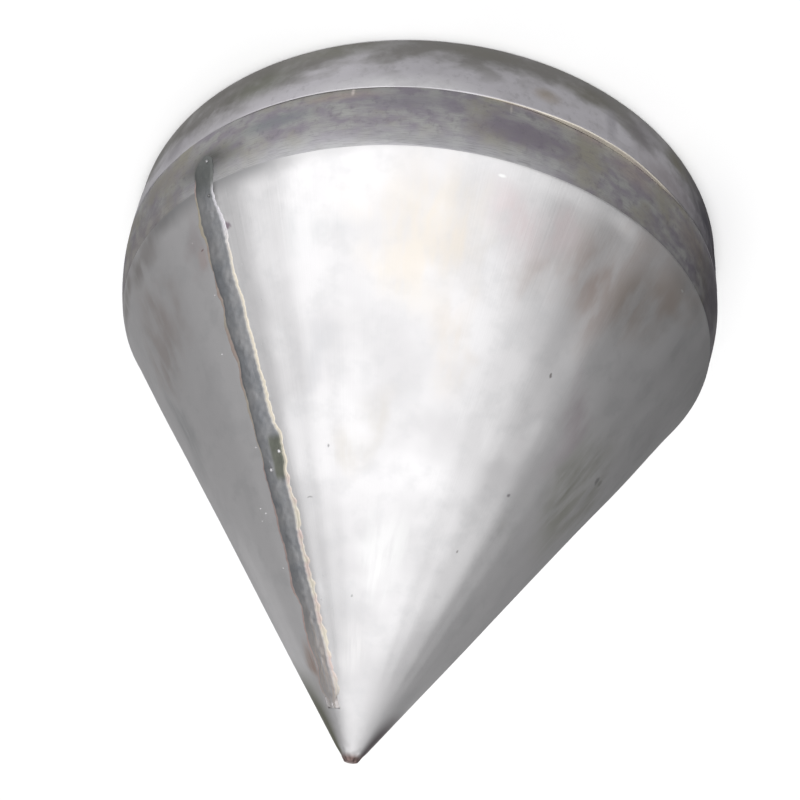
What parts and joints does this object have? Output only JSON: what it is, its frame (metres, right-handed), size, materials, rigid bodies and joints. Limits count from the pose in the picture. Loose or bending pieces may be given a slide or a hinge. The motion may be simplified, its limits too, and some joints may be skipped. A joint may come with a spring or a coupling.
{
  "type": "cone crusher mantle",
  "caption": "Pointed hollow cone of rolled plate with a straight ground seam weld, on a short skirt with a crowned hoop round its rim.",
  "frame": {"origin": "centre of the rim's foot, on the surface that the part stands on", "axes": "+Z along the cone's axis, towards its point; -Y towards the side that the picture shows, with the seam to its right"},
  "size_m": [0.6, 0.5999, 0.473],
  "materials": {
    "bright_plate": "ground bright, with faint rolling marks and tints",
    "skirt_plate": "dull, with fine marks round it",
    "hoop_plate": "satin, with dark blotches towards the foot",
    "weld_metal": "ground flat, with heat tints along its edges"
  },
  "bodies": {
    "root": {"cone_plate": "bright_plate", "seam_weld": "weld_metal", "point": "bright_plate", "point_weld": "weld_metal", "girth_weld": "weld_metal", "skirt_band": "skirt_plate", "skirt_seam": "weld_metal", "rim_hoop": "hoop_plate", "hoop_seam": "weld_metal", "rim_weld": "weld_metal"}
  },
  "joints": []
}
